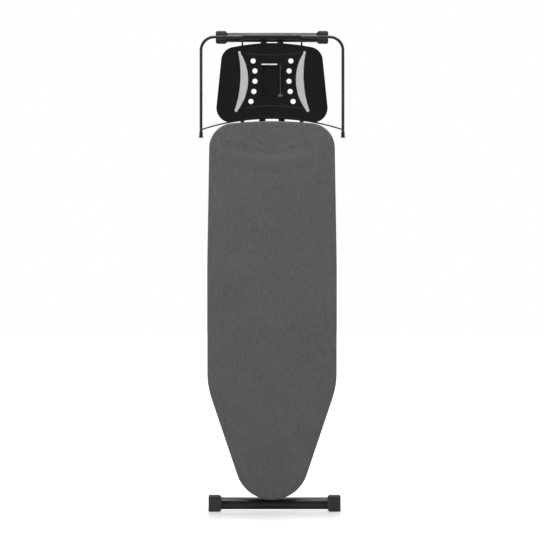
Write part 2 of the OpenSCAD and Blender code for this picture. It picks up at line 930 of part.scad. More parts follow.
module scissor_spacers() {
  color(plastic) placed() both_sides() difference() {
    rod_x(inner_tube_w / 2 + 0.5, outer_tube_x - outer_tube_d / 2, bolt_d + 8, leg_depth, scissor_z);
    rod_x(0, outer_tube_x, bolt_d, leg_depth, scissor_z);
    tube_body(outer_tube_d);
  }
}

// ---- inner leg ----

module inner_tube() {
  low = lower_foot_z + 3;
  color(metal) placed() difference() {
    translate([0, leg_depth, low]) linear_extrude(inner_top_z - low) oval(inner_tube_w, inner_tube_t);
    translate([0, leg_depth, low - cut]) linear_extrude(inner_top_z - low + 2 * cut)
      oval(inner_tube_w - 2 * inner_wall, inner_tube_t - 2 * inner_wall);
    rod_x(-inner_tube_w, inner_tube_w, bush_d, leg_depth, scissor_z);
  }
}

// Sleeve in the inner tube that turns on the scissor bolt
module pivot_bush() {
  color(pale_plastic) placed() difference() {
    rod_x(-inner_tube_w / 2, inner_tube_w / 2, bush_d, leg_depth, scissor_z);
    rod_x(-inner_tube_w, inner_tube_w, bolt_d + 2 * fit_gap, leg_depth, scissor_z);
  }
}

// Fitting on the upper end of the inner tube that holds the crossbar
module inner_head() {
  wall = 2.4;
  sleeve_l = 40;
  web_half = 14;
  eye_r = crossbar_d / 2 + 3.5;
  web = 6;
  color(plastic) placed() difference() {
    union() {
      translate([0, leg_depth, inner_top_z - sleeve_l]) linear_extrude(sleeve_l + 2)
        oval(inner_tube_w + 2 * wall, inner_tube_t + 2 * wall);
      side_plate(-web_half, web_half) {
        translate([pivot_depth, crossbar_z]) circle(r = eye_r);
        polygon([
          [pivot_depth - web, crossbar_z - web], [leg_depth - 8, inner_top_z - sleeve_l + 2],
          [leg_depth + 8, inner_top_z], [pivot_depth + web, crossbar_z + web]
        ]);
      }
    }
    translate([0, leg_depth, inner_top_z - 60]) linear_extrude(60) oval(inner_tube_w, inner_tube_t);
    rod_x(-2 * web_half, 2 * web_half, crossbar_d, pivot_depth, crossbar_z);
  }
}

module crossbar() {
  color(bare_steel) placed() rod_x(-crossbar_half, crossbar_half, crossbar_d, pivot_depth, crossbar_z);
}

// Plastic collars that keep the crossbar centred between the rack rails
module crossbar_glides() {
  glide_l = 7.4;
  glide_end = rack_x - rack_t / 2 - 0.6;
  color(pale_plastic) placed() both_sides() difference() {
    rod_x(glide_end - glide_l, glide_end, crossbar_d + 5, pivot_depth, crossbar_z);
    rod_x(glide_end - glide_l - cut, rack_x, crossbar_d, pivot_depth, crossbar_z);
  }
}

module inner_foot_bar() {
  color(metal) placed() difference() {
    translate([lower_foot_shift, 0, 0]) foot_bar(lower_bar_d, lower_bar_half, lower_foot_z);
    translate([0, leg_depth, lower_foot_z]) linear_extrude(60) oval(inner_tube_w, inner_tube_t);
  }
}

module inner_foot_cap(side) {
  color(plastic) placed() translate([lower_foot_shift, 0, 0]) on_side(side) foot_cap(
    lower_foot_w / 2 - lower_cap_l, lower_foot_w / 2,
    leg_depth - toe_reach, leg_depth + toe_reach,
    0, lower_cap_h, lower_edge_r, lower_bar_d, lower_foot_z, lower_bar_half);
}

module inner_foot_cap_left() {
  inner_foot_cap(-1);
}

module inner_foot_cap_right() {
  inner_foot_cap(1);
}

// ---- height release ----

module release_shaft() {
  color(bare_steel) placed()
    rod_z(middle_brace_z - shaft_end, rear_brace_z + shaft_end, shaft_d, shaft_x, pivot_depth);
}

// Toothed plate on the shaft, level with the crossbar's end
module height_comb() {
  low = travel_end_z - 10;
  high = crossbar_height(first_height_angle) + 14;
  color(metal) placed() difference() {
    slab(pivot_depth - lever_t / 2, pivot_depth + lever_t / 2)
      translate([comb_edge_x, low]) square([shaft_x - comb_edge_x, high - low]);
    for (i = [0:height_count - 1])
      rod_y(pivot_depth - lever_t, pivot_depth + lever_t, crossbar_d + 1, comb_edge_x,
        crossbar_height(first_height_angle + i * height_step));
    rod_z(low - cut, high + cut, shaft_d, shaft_x, pivot_depth);
  }
}

module lever_blade() {
  slab(pivot_depth - lever_t / 2, pivot_depth + lever_t / 2)
    translate([shaft_x, lever_z - lever_arm_h / 2]) square([lever_arm_l, lever_arm_h]);
}

module lever_arm() {
  low = lever_z - lever_arm_h / 2;
  high = lever_z + lever_arm_h / 2;
  color(metal) placed() difference() {
    union() {
      rod_z(low, high, shaft_d + 6, shaft_x, pivot_depth);
      lever_blade();
    }
    rod_z(low - cut, high + cut, shaft_d, shaft_x, pivot_depth);
  }
}

module lever_grip() {
  inner = shaft_x + 26;
  outer = inner + lever_grip_l;
  half_t = lever_grip_t / 2;
  half_h = lever_grip_l / 2;
  corner_r = 8;
  edge_r = 4;
  color(grey_plastic) placed() difference() {
    intersection() {
      slab(pivot_depth - half_t, pivot_depth + half_t)
        round_box([inner, lever_z - half_h], [outer, lever_z + half_h], corner_r);
      translate([0, 0, lever_z - half_h]) linear_extrude(2 * half_h)
        round_box([inner, pivot_depth - half_t], [outer, pivot_depth + half_t], edge_r);
    }
    lever_blade();
  }
}

// Close-wound torsion spring round the shaft
module lever_spring() {
  wire = 1.6;
  turns = 8;
  pitch = 1.68;
  low = lever_z + lever_arm_h / 2 + 3;
  color(bare_steel) placed() for (i = [0:turns - 1])
    translate([shaft_x, pivot_depth, low + i * pitch])
      rotate_extrude() translate([shaft_d / 2 + wire / 2 + 0.1, 0]) circle(d = wire, $fn = 24);
}

// ---- transport lock ----

// Bar that turns across both outer tubes
module lock_toggle() {
  front = lock_back + toggle_gap;
  color(grey_plastic) placed() difference() {
    slab(front, front + toggle_t) translate([0, lock_z]) rotate([0, 0, 90]) oval(toggle_l, toggle_w);
    rod_y(front - cut, front + toggle_t + cut, lock_screw_d + 2 * fit_gap, 0, lock_z);
  }
}

// ---- cord guide ----

module guide_rod() {
  eye_r = 3.2;
  eye_wire_d = 2;
  color(grey_plastic) placed() {
    rod_z(guide_z, guide_tip_z - 3.4, guide_rod_d, guide_x, guide_depth);
    translate([guide_x, guide_depth, guide_tip_z]) rotate([90, 0, 0])
      rotate_extrude() translate([eye_r, 0]) circle(d = eye_wire_d, $fn = 24);
  }
}

module guide_rod_bore() {
  rod_z(guide_z, guide_z + 20, guide_rod_d, guide_x, guide_depth);
}

module guide_base() {
  left = guide_x - guide_base_half;
  right = pocket_half_w - 0.5;
  barrel_d = 7.6;
  web_t = 5.2;
  web_h = 8;
  web_top = 3.5;
  color(grey_plastic) placed() difference() {
    union() {
      rod_x(left, right, barrel_d, guide_depth, guide_z);
      slab(guide_depth - web_t / 2, guide_depth + web_t / 2) polygon([
        [left, guide_z], [right, guide_z],
        [guide_x + web_top, guide_z + web_h], [guide_x - web_top, guide_z + web_h]
      ]);
    }
    rod_x(left - cut, right + cut, guide_pin_d, guide_depth, guide_z);
    guide_rod_bore();
  }
}

module guide_pin() {
  color(bare_steel) placed() difference() {
    rod_x(guide_x - guide_base_half - 2.8, pocket_half_w + 1.4, guide_pin_d, guide_depth, guide_z);
    guide_rod_bore();
  }
}

cover();
pad();
deck_mesh();
deck_rim();
front_cross_brace();
middle_cross_brace();
rear_cross_brace();
hinge_bracket();
rack_rail_left();
rack_rail_right();
rivets();
shaft_bearings();
lock_post();
lock_screw();
rest_plate();
pocket_strip();
insert_left();
insert_right();
plate_clips();
hanging_rail();
rail_grip();
rail_cap_left();
rail_cap_right();
support_wire_left();
support_wire_right();
brace_wire();
wire_socket_left();
wire_socket_right();
outer_tube_left();
outer_tube_right();
hinge_lug_left();
hinge_lug_right();
hinge_rod();
hinge_rod_caps();
outer_foot_bar();
outer_foot_cap_left();
outer_foot_cap_right();
scissor_bolt();
scissor_nut();
scissor_spacers();
inner_tube();
pivot_bush();
inner_head();
crossbar();
crossbar_glides();
inner_foot_bar();
inner_foot_cap_left();
inner_foot_cap_right();
release_shaft();
height_comb();
lever_arm();
lever_grip();
lever_spring();
lock_toggle();
guide_rod();
guide_base();
guide_pin();
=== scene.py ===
"""Looks of a folding ironing board: fabric cover, felt pad, expanded steel mesh, moulded feet and finishes.

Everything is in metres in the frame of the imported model: X across the board, -Y in front of the ironing
surface, Z up. Depths are measured back from the ironing surface.
"""

import json
import math

import bmesh
import bpy
import numpy as np
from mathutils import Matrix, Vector, noise

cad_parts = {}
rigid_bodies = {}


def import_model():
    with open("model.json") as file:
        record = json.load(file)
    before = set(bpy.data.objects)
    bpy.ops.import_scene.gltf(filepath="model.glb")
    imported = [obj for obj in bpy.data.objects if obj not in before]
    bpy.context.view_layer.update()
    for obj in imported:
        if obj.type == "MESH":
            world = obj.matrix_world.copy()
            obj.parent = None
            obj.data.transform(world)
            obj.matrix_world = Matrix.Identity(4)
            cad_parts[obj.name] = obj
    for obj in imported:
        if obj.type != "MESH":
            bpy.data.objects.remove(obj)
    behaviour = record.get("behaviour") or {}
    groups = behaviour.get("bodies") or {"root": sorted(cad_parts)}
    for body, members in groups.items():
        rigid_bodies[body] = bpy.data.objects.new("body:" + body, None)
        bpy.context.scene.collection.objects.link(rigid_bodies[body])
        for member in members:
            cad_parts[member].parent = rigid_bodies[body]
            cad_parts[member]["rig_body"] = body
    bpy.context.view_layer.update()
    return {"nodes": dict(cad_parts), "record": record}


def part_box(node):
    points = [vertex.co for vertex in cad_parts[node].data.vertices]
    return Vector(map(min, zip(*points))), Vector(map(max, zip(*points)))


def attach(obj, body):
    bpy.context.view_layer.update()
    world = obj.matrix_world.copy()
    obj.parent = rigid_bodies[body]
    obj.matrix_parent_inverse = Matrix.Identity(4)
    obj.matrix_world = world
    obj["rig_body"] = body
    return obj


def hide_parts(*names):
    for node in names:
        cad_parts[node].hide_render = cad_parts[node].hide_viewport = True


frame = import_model()
MM = 0.001

# ---------------------------------------------------------------------------
# Sizes
# ---------------------------------------------------------------------------

COVER_LOW, COVER_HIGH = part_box("cover")
MESH_LOW, MESH_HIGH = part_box("deck_mesh")
PAD_LOW, PAD_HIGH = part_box("pad")
FRONT = COVER_LOW.y
RIM_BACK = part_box("deck_rim")[1].y

CLOTH_THICKNESS = 0.9 * MM
CLOTH_STEP = 8 * MM
FRONT_EDGE_RADIUS = 7 * MM
BACK_EDGE_RADIUS = 3 * MM
HEM_WIDTH = 24 * MM
HEM_STANDOFF = 1.4 * MM
CORD_CASING = 7 * MM
CORD_RISE = 2.2 * MM
PLEAT_LENGTH = 15 * MM
PLEAT_RISE = 4 * MM
TENSION_FRAMES = 24
FILLING_PRESSURE = 0.05

PAD_SETBACK = 0.5 * MM
PAD_CLEARANCE = 0.1 * MM
PAD_INSET = 1.0 * MM

MESH_INSET = 5 * MM
MESH_SETBACK = 0.5 * MM
STRAND_WIDTH = 1.5 * MM
DIAMOND_LENGTH = 22 * MM
DIAMOND_HEIGHT = 9.5 * MM

RIB_PITCH = 8.6 * MM
RIB_WAVE = 17 * MM
RIB_SWING = 1.5 * MM
RIB_DEPTH = 1.4 * MM
CAP_VOXEL = 1.15 * MM
BAR_CLEARANCE = 0.6 * MM

ROOM_LIGHT = 0.1
SWEEP_LIGHT = 0.55
TABLE_GLOW = 1.0
# painted reflection and shade: the floor's glow beneath and in front of the feet
SHADED_GLOW = 0.36
TABLE_HALF_WIDTH = 40.0
CAMERA_DISTANCE = 14.0
CAMERA_HEIGHT = 0.823
FRAME_WIDTH = 1.866

# ---------------------------------------------------------------------------
# Meshes
# ---------------------------------------------------------------------------


def new_piece(name, points, faces, material, body, replaced=(), smooth=True):
    """A mesh piece that rides on a body and takes its finish from a material slot."""
    mesh = bpy.data.meshes.new(name)
    mesh.from_pydata([tuple(p) for p in points], [], [tuple(f) for f in faces])
    mesh.validate()
    piece = bpy.data.objects.new(name, mesh)
    bpy.context.scene.collection.objects.link(piece)
    mesh.materials.append(material)
    mesh.polygons.foreach_set("use_smooth", [smooth] * len(mesh.polygons))
    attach(piece, body)
    if replaced:
        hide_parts(*replaced)
    return piece


def clean_mesh(piece, merge=1e-6):
    """Joins doubled points, drops collapsed faces and turns every face outwards."""
    work = bmesh.new()
    work.from_mesh(piece.data)
    bmesh.ops.remove_doubles(work, verts=work.verts, dist=merge)
    bmesh.ops.dissolve_degenerate(work, dist=merge, edges=work.edges)
    bmesh.ops.recalc_face_normals(work, faces=work.faces)
    work.to_mesh(piece.data)
    work.free()


def apply_modifiers(piece):
    """Keeps the result of the piece's modifiers as its own mesh."""
    graph = bpy.context.evaluated_depsgraph_get()
    result = bpy.data.meshes.new_from_object(piece.evaluated_get(graph))
    piece.modifiers.clear()
    old = piece.data
    piece.data = result
    bpy.data.meshes.remove(old)


def add_modifier(piece, kind, **settings):
    modifier = piece.modifiers.new(kind.title(), kind)
    for name, value in settings.items():
        setattr(modifier, name, value)
    return modifier


def front_outline(node):
    """The outline of a node's front face in X and Z, counter-clockwise from the nose tip."""
    points = np.array([v.co for v in frame["nodes"][node].data.vertices])
    points = points[points[:, 1] < points[:, 1].min() + 0.05 * MM][:, [0, 2]]
    middle = (points.min(0) + points.max(0)) / 2
    turn = np.arctan2(points[:, 1] - middle[1], points[:, 0] - middle[0])
    points = points[np.argsort((turn + math.pi / 2) % (2 * math.pi))]
    return points[np.linalg.norm(points - np.roll(points, 1, 0), axis=1) > 0.01 * MM]


def resample(outline, step):
    """Evenly spaced points round a closed outline, the first one on the centreline at the nose."""
    closed = np.vstack([outline, outline[:1]])
    along = np.concatenate([[0], np.cumsum(np.linalg.norm(np.diff(closed, axis=0), axis=1))])
    count = 2 * round(along[-1] / step / 2)
    even = np.linspace(0, along[-1], count, endpoint=False)
    points = np.column_stack([np.interp(even, along, closed[:, k]) for k in (0, 1)])
    mirrored = np.roll(points[::-1], 1, 0) * [-1, 1]
    return (points + mirrored) / 2


def smoothed(values, passes):
    """Values round a closed outline, each drawn towards its two neighbours."""
    for _ in range(passes):
        values = (np.roll(values, 1, 0) + 2 * values + np.roll(values, -1, 0)) / 4
    return values


class Outline:
    """A convex outline that can be moved inwards, with its bend and its distance from the nose tip."""

    def __init__(self, node, step):
        self.points = resample(front_outline(node), step)
        along = smoothed(np.roll(self.points, -1, 0) - np.roll(self.points, 1, 0), 2)
        along /= np.linalg.norm(along, axis=1)[:, None]
        self.outwards = np.column_stack([along[:, 1], -along[:, 0]])
        turn = (np.roll(along, -1, 0) - np.roll(along, 1, 0)) / 2
        self.bend = smoothed(np.linalg.norm(turn, axis=1) / step, 3)
        self.travel = np.arange(len(self.points)) * step
        low, high = self.points[:, 1].min(), self.points[:, 1].max()
        half_width = self.points[:, 0].max()
        spine = np.clip(self.points[:, 1], low + 0.56 * half_width, high - 0.5 * half_width)
        self.spine = np.column_stack([np.zeros(len(spine)), spine])

    def ring(self, inset, share=1.0):
        """Points inset from the outline, drawn in towards the board's spine by share."""
        edge = self.points - self.outwards * inset
        return self.spine + (edge - self.spine) * share

    def area(self, grow):
        """Area inside the outline moved outwards by grow."""
        p = self.points + self.outwards * grow
        q = np.roll(p, -1, 0)
        return abs(float((p[:, 0] * q[:, 1] - p[:, 1] * q[:, 0]).sum())) / 2


def rings_to_faces(count, rings):
    """Quads between rings of count points each."""
    faces = []
    for k in range(rings - 1):
        a, b = k * count, (k + 1) * count
        for i in range(count):
            j = (i + 1) % count
            faces.append((a + i, a + j, b + j, b + i))
    return faces


# ---------------------------------------------------------------------------
# Shader graphs
# ---------------------------------------------------------------------------


def add(tree, kind, inputs=None, **settings):
    """A shader node with its settings and its inputs, each a socket to link or a value."""
    node = tree.nodes.new(kind)
    for name, value in settings.items():
        setattr(node, name, value)
    for key, value in (inputs or {}).items():
        if isinstance(value, bpy.types.NodeSocket):
            tree.links.new(value, node.inputs[key])
        else:
            node.inputs[key].default_value = value
    return node


def maths(tree, operation, *values):
    """The result of one arithmetic step on sockets or numbers."""
    return add(tree, "ShaderNodeMath", dict(enumerate(values)), operation=operation).outputs[0]


def between(tree, value, low, high, to_low=0.0, to_high=1.0):
    """value moved from the range low..high to to_low..to_high, and held inside it."""
    inputs = {0: value, 1: low, 2: high, 3: to_low, 4: to_high}
    return add(tree, "ShaderNodeMapRange", inputs).outputs[0]


def tint(tree, factor, first, second):
    """A colour between two colours, each a socket or three numbers."""
    node = add(tree, "ShaderNodeMix", {0: factor}, data_type="RGBA")
    for socket, colour in ((node.inputs[6], first), (node.inputs[7], second)):
        if isinstance(colour, bpy.types.NodeSocket):
            tree.links.new(colour, socket)
        else:
            socket.default_value = (*colour, 1)
    return node.outputs[2]


def blend(tree, first, first_share, second, second_share):
    """The sum of two values, each times its share."""
    parts = [maths(tree, "MULTIPLY", first, first_share), maths(tree, "MULTIPLY", second, second_share)]
    return maths(tree, "ADD", *parts)


def shaded(colour, factor, most=1.0):
    """A colour made lighter or darker, no channel above most."""
    return tuple(min(most, factor * c) for c in colour)


def stretched(tree, vector, scale):
    """A vector times a scale on each axis."""
    return add(tree, "ShaderNodeVectorMath", {0: vector, 1: scale}, operation="MULTIPLY").outputs[0]


def shader_group(name, inputs, outputs):
    """An empty node group with named sockets, and its inner input and output nodes."""
    tree = bpy.data.node_groups.new(name, "ShaderNodeTree")
    for title, (kind, value) in inputs.items():
        socket = tree.interface.new_socket(title, in_out="INPUT", socket_type=kind)
        if value is not None:
            socket.default_value = value
    for title, kind in outputs.items():
        tree.interface.new_socket(title, in_out="OUTPUT", socket_type=kind)
    return tree, tree.nodes.new("NodeGroupInput"), tree.nodes.new("NodeGroupOutput")


FLOAT, VECTOR, COLOUR = "NodeSocketFloat", "NodeSocketVector", "NodeSocketColor"


def weave_group():
    """Plain weave in X and Z, with slubs that run along both sets of threads, and painted shade that darkens
    the gaps between threads and lightens their crowns.
    """
    tree, given, result = shader_group(
        "plain_weave",
        {"Place": (VECTOR, None), "Thread": (FLOAT, 0.0009), "Slub": (FLOAT, 0.5)},
        {"Shade": FLOAT, "Height": FLOAT},
    )
    place = add(tree, "ShaderNodeSeparateXYZ", {0: given.outputs["Place"]})
    turns = [maths(tree, "DIVIDE", place.outputs[k], given.outputs["Thread"]) for k in ("X", "Z")]
    warp, weft = [maths(tree, "SINE", maths(tree, "MULTIPLY", turn, math.pi)) for turn in turns]
    warp_on_top = maths(tree, "GREATER_THAN", maths(tree, "MULTIPLY", warp, weft), 0.0)
    warp_round = maths(tree, "ABSOLUTE", warp)
    weft_round = maths(tree, "ABSOLUTE", weft)
    crossing = add(tree, "ShaderNodeMix", {0: warp_on_top, 2: weft_round, 3: warp_round}, data_type="FLOAT")
    streaks = [
        add(
            tree,
            "ShaderNodeTexNoise",
            {"Vector": stretched(tree, given.outputs["Place"], scale), "Scale": 1.0, "Detail": 3.0},
        ).outputs[0]
        for scale in ((520.0, 200.0, 42.0), (60.0, 200.0, 520.0))
    ]
    slub = blend(tree, streaks[0], 0.62, streaks[1], 0.38)
    spread = maths(tree, "MULTIPLY", maths(tree, "SUBTRACT", slub, 0.5), given.outputs["Slub"])
    # painted shade: the colour darkens towards each thread's edges and the gaps between threads, and lightens
    # on its crown
    painted_thread_shade = between(tree, crossing.outputs[0], 0.0, 1.0, -0.16, 0.1)
    shade = maths(tree, "ADD", maths(tree, "ADD", 0.5, spread), painted_thread_shade)
    tree.links.new(shade, result.inputs["Shade"])
    tree.links.new(crossing.outputs[0], result.inputs["Height"])
    return tree


def grain_group():
    """Fine moulded or sprayed grain over slow, broad variation."""
    tree, given, result = shader_group(
        "fine_grain",
        {"Place": (VECTOR, None), "Grain": (FLOAT, 1100.0), "Patches": (FLOAT, 14.0)},
        {"Height": FLOAT, "Patch": FLOAT},
    )
    grain_inputs = {
        "Vector": given.outputs["Place"],
        "Scale": given.outputs["Grain"],
        "Detail": 2.0,
        "Roughness": 0.55,
    }
    grain = add(tree, "ShaderNodeTexNoise", grain_inputs)
    patch_inputs = {
        "Vector": given.outputs["Place"],
        "Scale": given.outputs["Patches"],
        "Detail": 4.0,
        "Roughness": 0.6,
    }
    patch = add(tree, "ShaderNodeTexNoise", patch_inputs)
    tree.links.new(grain.outputs[0], result.inputs["Height"])
    tree.links.new(between(tree, patch.outputs[0], 0.3, 0.7), result.inputs["Patch"])
    return tree


def edge_group():
    """Edges rounded in the shading, and a mask of where the surface turns over them."""
    tree, given, result = shader_group(
        "soft_edges",
        {"Radius": (FLOAT, 0.0006), "Place": (VECTOR, None)},
        {"Normal": VECTOR, "Edge": FLOAT},
    )
    bevel = add(tree, "ShaderNodeBevel", {"Radius": given.outputs["Radius"]}, samples=4)
    geometry = tree.nodes.new("ShaderNodeNewGeometry")
    facing = add(
        tree,
        "ShaderNodeVectorMath",
        {0: bevel.outputs[0], 1: geometry.outputs["True Normal"]},
        operation="DOT_PRODUCT",
    )
    rub = add(
        tree,
        "ShaderNodeTexNoise",
        {"Vector": given.outputs["Place"], "Scale": 160.0, "Detail": 5.0, "Roughness": 0.7},
    )
    turned = between(tree, facing.outputs["Value"], 0.99, 0.8)
    worn = maths(tree, "MULTIPLY", turned, between(tree, rub.outputs[0], 0.4, 0.65))
    tree.links.new(bevel.outputs[0], result.inputs["Normal"])
    tree.links.new(worn, result.inputs["Edge"])
    return tree


WEAVE = weave_group()
GRAIN = grain_group()
EDGES = edge_group()


class Finish:
    """A material with its Principled shader, the object's own coordinates and the shared groups."""

    def __init__(self, name, **constants):
        self.material = bpy.data.materials.new(name)
        self.material.use_nodes = True
        self.tree = self.material.node_tree
        self.shader = self.tree.nodes["Principled BSDF"]
        self.place = self.tree.nodes.new("ShaderNodeTexCoord").outputs["Object"]
        for socket, value in constants.items():
            self.shader.inputs[socket.replace("_", " ")].default_value = value

    def grouped(self, tree, **values):
        node = self.tree.nodes.new("ShaderNodeGroup")
        node.node_tree = tree
        self.tree.links.new(self.place, node.inputs["Place"])
        for key, value in values.items():
            node.inputs[key].default_value = value
        return node.outputs

    def noise(self, scale, detail=3.0, roughness=0.5, stretch=(1.0, 1.0, 1.0)):
        vector = stretched(self.tree, self.place, stretch)
        inputs = {"Vector": vector, "Scale": scale, "Detail": detail, "Roughness": roughness}
        return add(self.tree, "ShaderNodeTexNoise", inputs).outputs[0]

    def bump(self, height, distance, normal=None):
        inputs = {"Height": height, "Distance": distance, "Strength": 1.0}
        if normal is not None:
            inputs["Normal"] = normal
        return add(self.tree, "ShaderNodeBump", inputs).outputs[0]

    def feed(self, **sockets):
        for name, value in sockets.items():
            self.tree.links.new(value, self.shader.inputs[name.replace("_", " ")])
        return self.material


# ---------------------------------------------------------------------------
# Finishes
# ---------------------------------------------------------------------------


def cover_cloth():
    """Melange cotton with slubs, dull and a little fuzzy."""
    finish = Finish("charcoal_melange_cotton", Sheen_Weight=0.25, Sheen_Roughness=0.5, Specular_IOR_Level=0.2)
    weave = finish.grouped(WEAVE, Thread=0.95 * MM, Slub=1.5)
    broad = finish.noise(7.0, 4.0, 0.6)
    # the weave's Shade output holds slub tone and painted shade between the threads
    shade = maths(finish.tree, "ADD", weave["Shade"], between(finish.tree, broad, 0.3, 0.7, -0.05, 0.05))
    light = between(finish.tree, shade, 0.0, 1.0)
    colour = tint(finish.tree, light, (0.060, 0.060, 0.062), (0.150, 0.150, 0.155))
    fuzz = finish.noise(2600.0, 2.0, 0.6)
    height = maths(finish.tree, "ADD", weave["Height"], maths(finish.tree, "MULTIPLY", fuzz, 0.5))
    return finish.feed(
        Base_Color=colour,
        Roughness=between(finish.tree, shade, 0.0, 1.0, 0.95, 0.84),
        Normal=finish.bump(height, 0.12 * MM),
    )


def pad_felt():
    """Off-white needled felt."""
    finish = Finish("needled_felt", Sheen_Weight=0.3, Specular_IOR_Level=0.15)
    fibres = finish.noise(900.0, 5.0, 0.75)
    patches = finish.noise(55.0, 3.0, 0.6)
    mixed = blend(finish.tree, fibres, 0.65, patches, 0.35)
    light = between(finish.tree, mixed, 0.35, 0.65)
    colour = tint(finish.tree, light, (0.42, 0.415, 0.40), (0.66, 0.655, 0.63))
    return finish.feed(
        Base_Color=colour,
        Roughness=between(finish.tree, mixed, 0.3, 0.7, 0.98, 0.9),
        Normal=finish.bump(mixed, 0.5 * MM),
    )


def powder_coat(name, colour, gloss):
    """Sprayed and baked paint with a slight orange peel."""
    finish = Finish(name, Specular_IOR_Level=0.5)
    grain = finish.grouped(GRAIN, Grain=1400.0, Patches=11.0)
    base = tint(finish.tree, grain["Patch"], colour, shaded(colour, 1.35))
    roughness = between(finish.tree, grain["Patch"], 0.0, 1.0, gloss - 0.04, gloss + 0.06)
    return finish.feed(
        Base_Color=base,
        Roughness=roughness,
        Normal=finish.bump(grain["Height"], 0.004 * MM),
    )


def moulded_plastic(name, colour, roughness, grain_size=900.0, grain_depth=0.05, radius=0.7):
    """Moulded plastic with a fine spark-eroded grain and slightly polished edges."""
    finish = Finish(name, Specular_IOR_Level=0.3)
    grain = finish.grouped(GRAIN, Grain=grain_size, Patches=18.0)
    edges = finish.grouped(EDGES, Radius=radius * MM)
    base = tint(finish.tree, grain["Patch"], shaded(colour, 0.86), shaded(colour, 1.14, 0.9))
    polish = maths(finish.tree, "MULTIPLY", edges["Edge"], 0.35)
    base = tint(finish.tree, polish, base, shaded(colour, 2.4, 0.92))
    shine = between(finish.tree, grain["Height"], 0.3, 0.7, roughness + 0.07, roughness - 0.05)
    return finish.feed(
        Base_Color=base,
        Roughness=shine,
        Normal=finish.bump(grain["Height"], grain_depth * MM, edges["Normal"]),
    )


def silicone(name, colour):
    """Soft silicone, a little see-through, with a fine matt grain."""
    finish = Finish(name, Specular_IOR_Level=0.4, Subsurface_Weight=0.05)
    grain = finish.grouped(GRAIN, Grain=700.0, Patches=30.0)
    edges = finish.grouped(EDGES, Radius=0.5 * MM)
    base = tint(finish.tree, grain["Patch"], shaded(colour, 0.93), colour)
    base = tint(finish.tree, edges["Edge"], base, shaded(colour, 1.25))
    return finish.feed(
        Base_Color=base,
        Roughness=between(finish.tree, grain["Height"], 0.3, 0.7, 0.62, 0.48),
        Normal=finish.bump(grain["Height"], 0.03 * MM, edges["Normal"]),
    )


def zinc_plate(name, stretch, colour=(0.56, 0.565, 0.57)):
    """Bright zinc with drawing marks along the part."""
    finish = Finish(name, Metallic=1.0, Specular_IOR_Level=0.5)
    marks = finish.noise(1.0, 4.0, 0.6, stretch)
    bloom = finish.noise(90.0, 5.0, 0.7)
    mixed = blend(finish.tree, marks, 0.6, bloom, 0.4)
    base = tint(finish.tree, between(finish.tree, mixed, 0.35, 0.65), shaded(colour, 0.78), colour)
    edges = finish.grouped(EDGES, Radius=0.3 * MM)
    return finish.feed(
        Base_Color=base,
        Roughness=between(finish.tree, mixed, 0.3, 0.7, 0.42, 0.28),
        Normal=finish.bump(marks, 0.01 * MM, edges["Normal"]),
    )


BLACK = (0.0085, 0.0085, 0.0092)
FINISHES = {
    "cover_fabric": cover_cloth(),
    "foam": pad_felt(),
    "mesh_steel": powder_coat("grey_stove_enamel", (0.055, 0.056, 0.058), 0.42),
    "black_steel": powder_coat("black_powder_coat", BLACK, 0.31),
    "zinc_steel": zinc_plate("bright_zinc", (2500.0, 2500.0, 60.0)),
    "black_plastic": moulded_plastic("black_moulded_plastic", (0.0086, 0.0086, 0.0091), 0.33),
    "foot_plastic": moulded_plastic("foot_cap_plastic", (0.033, 0.033, 0.0345), 0.6, 700.0, 0.08),
    "grey_plastic": moulded_plastic("grey_moulded_plastic", (0.075, 0.076, 0.08), 0.45),
    "nylon": moulded_plastic("natural_nylon", (0.80, 0.80, 0.77), 0.42, 500.0, 0.03, 0.4),
    "silver_silicone": silicone("silver_silicone", (0.54, 0.542, 0.556)),
}


def finish_nodes():
    """Every CAD node takes the finish of its slot."""
    for entry in frame["record"]["subparts"]:
        node = frame["nodes"][entry["node"]]
        for holder in node.material_slots:
            holder.material = FINISHES[entry["material_slot"]]


finish_nodes()

# ---------------------------------------------------------------------------
# Cover
# ---------------------------------------------------------------------------


def quarter_turn(start, end, steps, along_first):
    """A quarter of an ellipse from start to end in the section, leaving along the inset or the depth."""
    places = []
    for k in range(1, steps + 1):
        angle = math.pi / 2 * k / steps
        early, late = math.sin(angle), 1 - math.cos(angle)
        share = (early, late) if along_first == "inset" else (late, early)
        places.append(tuple(a + (b - a) * t for a, b, t in zip(start, end, share)))
    return places


def cover_section():
    """The cover's section from the front face over the edge to the cord casing: (inset, depth, travel)."""
    back = RIM_BACK - FRONT + HEM_STANDOFF
    bend = (0.0, back - BACK_EDGE_RADIUS)
    flat = (BACK_EDGE_RADIUS, back)
    section = [(FRONT_EDGE_RADIUS, 0.0)]
    section += quarter_turn(section[0], (0.0, FRONT_EDGE_RADIUS), 5, "inset")
    section += [(0.0, FRONT_EDGE_RADIUS + (bend[1] - FRONT_EDGE_RADIUS) * k / 3) for k in (1, 2, 3)]
    section += quarter_turn(bend, flat, 3, "depth")
    section += [(BACK_EDGE_RADIUS + (HEM_WIDTH - BACK_EDGE_RADIUS) * k / 6, back) for k in range(1, 7)]
    for k in range(1, 7):
        angle = math.pi * k / 6
        inset = HEM_WIDTH + CORD_CASING / 2 * (1 - math.cos(angle))
        section.append((inset, back + CORD_RISE * math.sin(angle)))
    travel = [0.0]
    for a, b in zip(section, section[1:]):
        travel.append(travel[-1] + math.dist(a, b))
    return [(inset, depth, t) for (inset, depth), t in zip(section, travel)]


